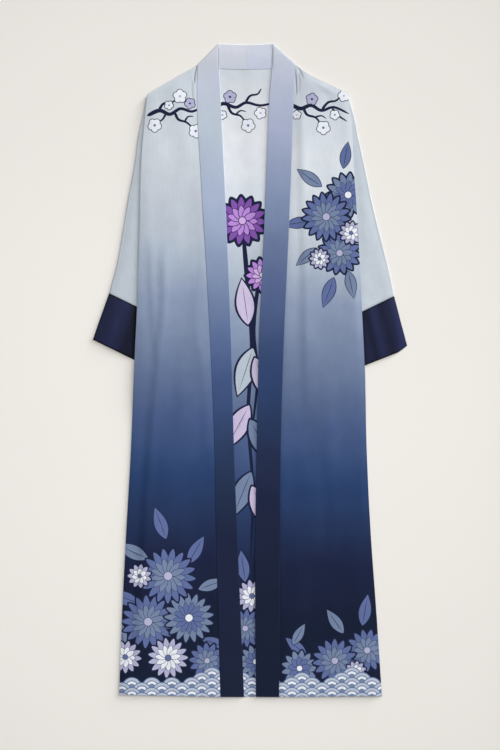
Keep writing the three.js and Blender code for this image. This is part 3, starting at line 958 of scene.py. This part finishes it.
def band_sections(side):
    """Sections from the centre back, over the fold at the shoulder and down to the hem.

    Each has its free edge, its seam, the part of the neckband or its height there, and the way that
    the cloth's inner side looks.
    """
    sign = SIDES[side]
    free_end, seam_end, out = fold_line(side)
    start = NECK["centre_x"] + sign * SEAM_GAP / 2
    up = np.array([0, 0, 1.0])
    sections = []
    for t in np.linspace(0, 1, STEPS["band_neck"])[:-1]:
        seam_x = mix(start, seam_end[0], t)
        top = mix(np.array([start, y_at(NECK["top_drop"])]), free_end, t)
        seam = np.array([seam_x, y_at(float(neck_seam_drop(seam_x)))])
        sections.append((top, seam, "collar", up))
    for t in np.linspace(0, 1, STEPS["band_fold"]):
        bulge = FOLD_RADIUS * math.sin(math.pi * t) * out
        height = BAND_THICK / 2 + FOLD_RADIUS * (1 - math.cos(math.pi * t))
        inner = np.array([*(-math.sin(math.pi * t) * out), math.cos(math.pi * t)])
        sections.append((free_end + bulge, seam_end + bulge, height, inner))
    for t in np.linspace(0, 1, STEPS["band_fold"])[1:]:
        ends = []
        for place, column in ((free_end, "Free"), (seam_end, "Seam")):
            drop = mix(drop_at(place[1]), NECK_TURN_DROP, t)
            x = mix(place[0], sign * along(BAND, side + column, drop), t)
            ends.append(np.array([x, y_at(drop)]))
        sections.append((*ends, "front", -up))
    for drop in np.linspace(NECK_TURN_DROP, LENGTH, STEPS["band_front"])[1:]:
        reaches = [along(BAND, side + column, drop) for column in ("Free", "Seam")]
        ends = [np.array([sign * reach, y_at(drop)]) for reach in reaches]
        sections.append((*ends, "front", -up))
    return sections


def front_band(side, run, rise, place):
    """Middle heights, rises and painted shades of a section of the neckband that lies on the front.
    """
    fold_drop = drop_at(fold_line(side)[1][1])
    drop = drop_at(place[:, 1])
    resting = lift_at(place[:, 0], place[:, 1]) + BAND_MIDDLE
    settled = smooth(drop, fold_drop, NECK_TURN_DROP)
    middle = mix(BAND_THICK / 2 + 2 * FOLD_RADIUS, resting, settled)
    ripple = ripple_height(run, drop, BAND_RIPPLES)
    middle = middle + ripple * smooth(drop, *BAND_RIPPLE_START)
    fade = PRESSED_EDGE["fade"]
    over_collar = 1 - smooth(drop, NECK["seam_drop"] - fade, NECK["seam_drop"])
    pressed = PRESSED_EDGE["share"] * over_collar * (1 - smooth(run, 0, PRESSED_EDGE["in"]))
    rise = rise * (1 - pressed)
    # A dark line of painted shade beside the free edge, standing for the fold's shadow over the
    # collar.
    rule = COLLAR_PAINTED_LINE[side]
    painted_line = rule["shade"] * np.exp(-(((run - rule["in"]) / rule["width"]) ** 2))
    shade = np.where(rise <= 0, painted_line * over_collar, 0)
    return middle - BAND_THICK / 2 * pressed, rise, shade


def neckband(name, side, material):
    rings, shades = [], []
    for free, seam, part, inner in band_sections(side):
        across = seam - free
        width = float(np.hypot(*across))
        run, rise = pressed_ring(width, BAND_THICK, 0.0, *BAND_STEPS)
        place = free + np.outer(run / width, across)
        if part == "collar":
            middle = np.full(len(run), BAND_THICK / 2)
            shade = np.full(len(run), -COLLAR_LIGHTER)
        elif part == "front":
            middle, rise, shade = front_band(side, run, rise, place)
        else:
            middle = np.full(len(run), part)
            # Painted shade on the fold, most where it faces sideways.
            shade = np.full(len(run), FOLD_PAINTED_SHADE[side] * np.hypot(*inner[:2]))
        points = np.column_stack([place, middle]) + rise[:, None] * inner
        rings.append(points)
        shades.append(shade)
    rings = np.array(rings)
    count, columns = rings.shape[:2]
    points = rings.reshape(-1, 3)
    faces = ring_faces(count, columns)
    faces.append(list(range(columns))[::-1])
    faces.append([(count - 1) * columns + c for c in range(columns)])
    obj = add_object(name, points, outwards(points, faces), material, sharp=50)
    add_shade(obj, np.concatenate(shades))
    return obj


# ---- Materials ----
# The range that most of a noise lies in.
NOISE_RANGE = (0.3, 0.7)
# Noises in the silk: scale, detail and, where it isn't even, stretch.
NOISES = {
    "dye": (9, 2),
    "mottle": (38, 4),
    "streak": (60, 3, (9, 0.8, 1)),
    # The next noise draws long soft bands of painted sheen.
    "satin": (36, 2, (1, 0.08, 1)),
    "polish": (120, 3),
    "fibre": (700, 2),
}
# How far the dye strays up and down, in metres.
DYE_STRAY = 0.012
WEAVE = {"warp": 390.0, "weft": 330.0, "fibre": 0.8, "depth": 0.00012}
THREAD = {"Distortion": 1.5, "Detail": 1.0, "Detail Scale": 0.6}
SHEEN_ROUGHNESS = 0.45


class Nodes:
    """Short ways to add shader nodes."""

    def __init__(self, name):
        self.material = bpy.data.materials.new(name)
        self.material.use_nodes = True
        self.tree = self.material.node_tree
        self.shader = self.tree.nodes["Principled BSDF"]
        self.place = self.add("ShaderNodeTexCoord").outputs["Object"]

    def add(self, kind, settings=None, **inputs):
        node = self.tree.nodes.new(kind)
        for key, value in (settings or {}).items():
            setattr(node, key, value)
        for key, value in inputs.items():
            self.put(node, key.replace("_", " "), value)
        return node

    def put(self, node, key, value):
        """Set or link an input, by its name, or by its number as i0, i1 and so on."""
        numbered = key[0] == "i" and key[1:].isdigit()
        socket = node.inputs[int(key[1:]) if numbered else key]
        if isinstance(value, bpy.types.NodeSocket):
            self.tree.links.new(value, socket)
        else:
            socket.default_value = value

    def math(self, operation, a, b=0.0):
        return self.add("ShaderNodeMath", {"operation": operation}, i0=a, i1=b).outputs[0]

    def noise(self, scale, detail, stretch=(1, 1, 1)):
        moved = self.add("ShaderNodeMapping", None, Vector=self.place, Scale=stretch).outputs[0]
        node = self.add("ShaderNodeTexNoise", None, Vector=moved, Scale=scale, Detail=detail)
        return node.outputs[0]

    def spread(self, value, low, high):
        """A noise, spread from low to high."""
        node = self.add("ShaderNodeMapRange", None, Value=value)
        ends = (*NOISE_RANGE, low, high)
        for key, end in zip(("From Min", "From Max", "To Min", "To Max"), ends):
            node.inputs[key].default_value = end
        return node.outputs[0]

    def grey(self, value):
        return self.add("ShaderNodeCombineColor", None, i0=value, i1=value, i2=value).outputs[0]

    def blend(self, kind, factor, a, b):
        node = self.add("ShaderNodeMix", {"data_type": "RGBA", "blend_type": kind})
        self.put(node, "i0", factor)
        self.put(node, "i6", a)
        self.put(node, "i7", b)
        return node.outputs[2]


def silk(name, stops, shift=0.0, inked=False, roughness=(0.46, 0.56), gloss=0.25, sheen=0.08,
         mottle=0.03, weave=0.18, satin=0.0, painted_shade_strength=0.5):
    """Silk dyed down its length. stops are (drop in mm, shown colour), shift mm farther down.

    The last two strengths give long soft bands of painted sheen down the cloth, and its painted
    shade from the shade attribute.
    """
    n = Nodes(name)
    y = n.add("ShaderNodeSeparateXYZ", None, Vector=n.place).outputs["Y"]
    uneven = n.spread(n.noise(*NOISES["dye"]), -DYE_STRAY, DYE_STRAY)
    drop = n.math("SUBTRACT", LENGTH / 2 * MM - shift * MM, n.math("ADD", y, uneven))
    low, high = stops[0][0] * MM, stops[-1][0] * MM
    share = n.math("DIVIDE", n.math("SUBTRACT", drop, low), high - low)
    ramp = n.add("ShaderNodeValToRGB", None, Fac=share)
    ramp.color_ramp.interpolation = "LINEAR"
    points = ramp.color_ramp.elements
    while len(points) < len(stops):
        points.new(0.5)
    for point, (at, _) in zip(points, stops):
        point.position = (at * MM - low) / (high - low)
    for point, (_, tone) in zip(points, stops):
        point.color = dye(tone)
    base = ramp.outputs["Color"]
    if inked:
        ink = n.add("ShaderNodeAttribute", {"attribute_name": "ink"})
        base = n.blend("MIX", ink.outputs["Alpha"], base, ink.outputs["Color"])
    shades = []
    # Mottle and streaks are the dye's own unevenness; the satin bands are painted sheen.
    for kind, strength in (("mottle", mottle), ("streak", mottle), ("satin", satin)):
        if strength:
            shades.append(n.spread(n.noise(*NOISES[kind]), 1 - strength, 1 + strength))
    # The shade attribute holds painted shade, and the collar's lighter tone where negative.
    painted_shade_attribute = n.add("ShaderNodeAttribute", {"attribute_name": "shade"}).outputs["Fac"]
    shades.append(n.math("SUBTRACT", 1.0, n.math("MULTIPLY", painted_shade_attribute, painted_shade_strength)))
    for shade in shades:
        base = n.blend("MULTIPLY", 1.0, base, n.grey(shade))
    n.put(n.shader, "Base Color", base)
    n.put(n.shader, "Roughness", n.spread(n.noise(*NOISES["polish"]), *roughness))
    threads = []
    for way, scale in (("X", WEAVE["warp"]), ("Y", WEAVE["weft"])):
        wave = n.add("ShaderNodeTexWave", {"bands_direction": way}, Vector=n.place, Scale=scale)
        for key, value in THREAD.items():
            n.put(wave, key, value)
        threads.append(wave.outputs["Fac"])
    woven = n.math("MULTIPLY", *threads)
    fibre = n.math("MULTIPLY", n.noise(*NOISES["fibre"]), WEAVE["fibre"])
    grain = n.math("ADD", woven, fibre)
    bump = n.add("ShaderNodeBump", None, Height=grain, Strength=weave, Distance=WEAVE["depth"])
    n.put(n.shader, "Normal", bump.outputs[0])
    n.shader.inputs["Specular IOR Level"].default_value = gloss
    n.shader.inputs["Sheen Weight"].default_value = sheen
    n.shader.inputs["Sheen Roughness"].default_value = SHEEN_ROUGHNESS
    return n.material


RIGHT_CHEST_OMBRE = [
    (20, "bfc7d0"), (87, "c4ccd5"), (224, "cdd4db"), (329, "c1c8d2"), (413, "b6bfcb"),
    (455, "a8b4c4"), (497, "9aa7ba"),
]
LEFT_CHEST_OMBRE = [
    (20, "c4ccd5"), (87, "c8cfd9"), (224, "d9dfe5"), (329, "ced5de"), (413, "bcc4cf"),
    (455, "adb8c8"), (497, "9ca9bc"),
]
FRONT_OMBRE = [
    (539, "8c99b3"), (623, "7786a2"), (707, "617192"), (791, "4b5d86"), (875, "354b74"),
    (917, "2b416a"), (1001, "263558"), (1085, "1e2541"), (1211, "192136"), (1372, "192135"),
]
BACK_OMBRE = [
    (20, "cdd3da"), (75, "d0d6dd"), (200, "e0e3e8"), (265, "dde1e8"), (330, "d2d9e1"),
    (413, "c2cbd6"), (500, "a9b4c4"), (585, "8d9bb3"), (670, "7686a4"), (755, "617294"),
    (840, "4c5f87"), (925, "374c76"), (1010, "29395e"), (1095, "1f2744"), (1372, "192135"),
]
RIGHT_BAND_OMBRE = [
    (15, "cfd1dd"), (35, "c6cad4"), (77, "bec4d4"), (182, "b5c1cd"), (245, "aeb9cc"),
    (329, "a5b1c9"), (413, "94a2bd"), (497, "7e8eac"), (539, "6f7fa0"), (623, "586a92"),
    (707, "42557f"), (791, "35476d"), (875, "2b3a5a"), (959, "232f4a"), (1043, "202640"),
    (1372, "1e2539"),
]
LEFT_BAND_OMBRE = [
    (15, "c9cedb"), (35, "c2c7d8"), (77, "b9c0d3"), (119, "b3bcd2"), (182, "a9b1cc"),
    (245, "99a4c0"), (329, "8392b2"), (413, "6d7b9e"), (497, "5a6990"), (623, "3e4f77"),
    (707, "31446c"), (791, "29395b"), (875, "242d4a"), (959, "1f2640"), (1169, "1b2236"),
    (1372, "1b2236"),
]
# The wearer's right sleeve is given a darker tone than the left below its top: painted shade on the
# side away from the light.
RIGHT_SLEEVE_TONE = [(100, "c7cfd5"), (290, "bcc5ce"), (520, "bbc4cd")]
LEFT_SLEEVE_TONE = [(100, "c6cdd6"), (290, "c4cdd6"), (520, "c3ccd5")]
CUFF_TONE = [(500, "262a44"), (640, "242843")]
# The cuffs' satin: roughness and gloss, mottle, bands of painted sheen and a strong painted shade.
CUFF_FINISH_AND_PAINTED_SHEEN = dict(roughness=(0.36, 0.44), gloss=0.3, mottle=0.05, satin=0.15, painted_shade_strength=0.95)

fabric = {
    "front_right": silk(
        "right front silk", RIGHT_CHEST_OMBRE + FRONT_OMBRE, shift=-12, inked=True, satin=0.02
    ),
    "front_left": silk(
        "left front silk", LEFT_CHEST_OMBRE + FRONT_OMBRE, shift=12, inked=True, satin=0.02
    ),
    "back": silk("back silk", BACK_OMBRE, inked=True),
    "sleeve_right": silk("right sleeve silk", RIGHT_SLEEVE_TONE, painted_shade_strength=0.08),
    "sleeve_left": silk("left sleeve silk", LEFT_SLEEVE_TONE, painted_shade_strength=0.25),
    "cuff": silk("cuff silk", CUFF_TONE, **CUFF_FINISH_AND_PAINTED_SHEEN),
    "band_right": silk("right band silk", RIGHT_BAND_OMBRE, mottle=0.02),
    "band_left": silk("left band silk", LEFT_BAND_OMBRE, mottle=0.02),
}


# ---- The pieces ----
def dress(obj, node):
    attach(obj, "root")
    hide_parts(node)
    return obj


back = panel(
    "silk_back", back_outline(), BACK_PRINT, back_heights, fabric["back"], SPACING["back"]
)
dress(back, "back")

for side in SIDES:
    front = panel(
        "silk_front_" + side, front_outline(side), FRONT_PRINT, front_heights(side),
        fabric["front_" + side], SPACING["front"], fine_points(side),
    )
    dress(front, "front_" + side)

    sleeve = tube(
        "silk_sleeve_" + side, side, SLEEVE[side], 0, SLEEVE_SHELL, NO_PAINTED_SHEEN,
        fabric["sleeve_" + side],
    )
    dress(sleeve, "sleeve_" + side)

    cuff = tube(
        "silk_cuff_" + side, side, CUFF[side], CUFF_GAP, CUFF_SHELL, CUFF_PAINTED_SHEEN[side],
        fabric["cuff"],
    )
    dress(cuff, "cuff_" + side)

    band = neckband("silk_band_" + side, side, fabric["band_" + side])
    dress(band, "neckband_" + side)


# ---- Floor, light and camera ----
FLOOR_COLOUR = (0.804, 0.78, 0.738, 1)
# How much darker the floor is painted away from the middle: a painted falloff of light.
FLOOR_PAINTED_FALLOFF = 0.05
FLOOR_NOISE = (3, 2)
FLOOR_MOTTLE = 0.005
FLOOR_REACH = 9
FLOOR_HEIGHT = -0.0003
FLOOR_ROUGHNESS = 0.9
FLOOR_GLOSS = 0.1


def floor_material():
    """Pale paper, with a painted falloff of light that makes it a little darker away from the
    middle.
    """
    n = Nodes("floor")
    tone = n.spread(n.noise(*FLOOR_NOISE), 1 - FLOOR_MOTTLE, 1 + FLOOR_MOTTLE)
    away = n.add("ShaderNodeVectorMath", {"operation": "LENGTH"}, Vector=n.place)
    away = n.math("POWER", n.math("MINIMUM", away.outputs["Value"], 1.0), 2.0)
    tone_with_painted_falloff = n.math("SUBTRACT", tone, n.math("MULTIPLY", away, FLOOR_PAINTED_FALLOFF))
    n.put(n.shader, "Base Color", n.blend("MULTIPLY", 1.0, FLOOR_COLOUR, n.grey(tone_with_painted_falloff)))
    n.shader.inputs["Roughness"].default_value = FLOOR_ROUGHNESS
    n.shader.inputs["Specular IOR Level"].default_value = FLOOR_GLOSS
    return n.material


signs = ((-1, -1), (1, -1), (1, 1), (-1, 1))
corners = [(a * FLOOR_REACH, b * FLOOR_REACH, FLOOR_HEIGHT) for a, b in signs]
floor_mesh = bpy.data.meshes.new("floor")
floor_mesh.from_pydata(corners, [], [(0, 1, 2, 3)])
floor_mesh.materials.append(floor_material())
floor = bpy.data.objects.new("floor", floor_mesh)
bpy.context.scene.collection.objects.link(floor)


def add_light(kind, name, place, power, **settings):
    data = bpy.data.lights.new(name, kind)
    data.energy = power
    for key, value in settings.items():
        setattr(data, key, value)
    light = bpy.data.objects.new(name, data)
    light.location = place
    light.rotation_mode = "QUATERNION"
    light.rotation_quaternion = (-Vector(place)).to_track_quat("-Z", "Y")
    bpy.context.scene.collection.objects.link(light)
    return light


# The wide key and the low skimming light throw soft shadows to the left and below, and the
# overhead fill gives no glare.
add_light("SUN", "key", (3.3, 3.0, 1.62), 2.8, angle=math.radians(40))
add_light("SUN", "low", (3.3, 3.0, 0.55), 3.3, angle=math.radians(14))
overhead = add_light("AREA", "overhead", (0, 0, 2.6), 35.4, shape="DISK", size=2.0)
overhead.visible_glossy = False

STUDIO_STRENGTH = 0.2
scene = bpy.context.scene
world = bpy.data.worlds.new("studio")
world.use_nodes = True
background = world.node_tree.nodes["Background"]
background.inputs["Color"].default_value = (1, 1, 1, 1)
background.inputs["Strength"].default_value = STUDIO_STRENGTH
scene.world = world
scene.view_settings.view_transform = "Standard"

# The camera looks straight down. Its view is as high as the photo's 750 pixels of 2.1 mm.
VIEW_HEIGHT = 1.575
VIEW_MIDDLE_Y = -0.01
CAMERA_HEIGHT = 8.0
SENSOR = 36
camera_data = bpy.data.cameras.new("camera")
camera_data.sensor_width = SENSOR
camera_data.lens = SENSOR * CAMERA_HEIGHT / VIEW_HEIGHT
camera_data.clip_end = 50
camera = bpy.data.objects.new("camera", camera_data)
camera.location = (0, VIEW_MIDDLE_Y, CAMERA_HEIGHT)
scene.collection.objects.link(camera)
scene.camera = camera
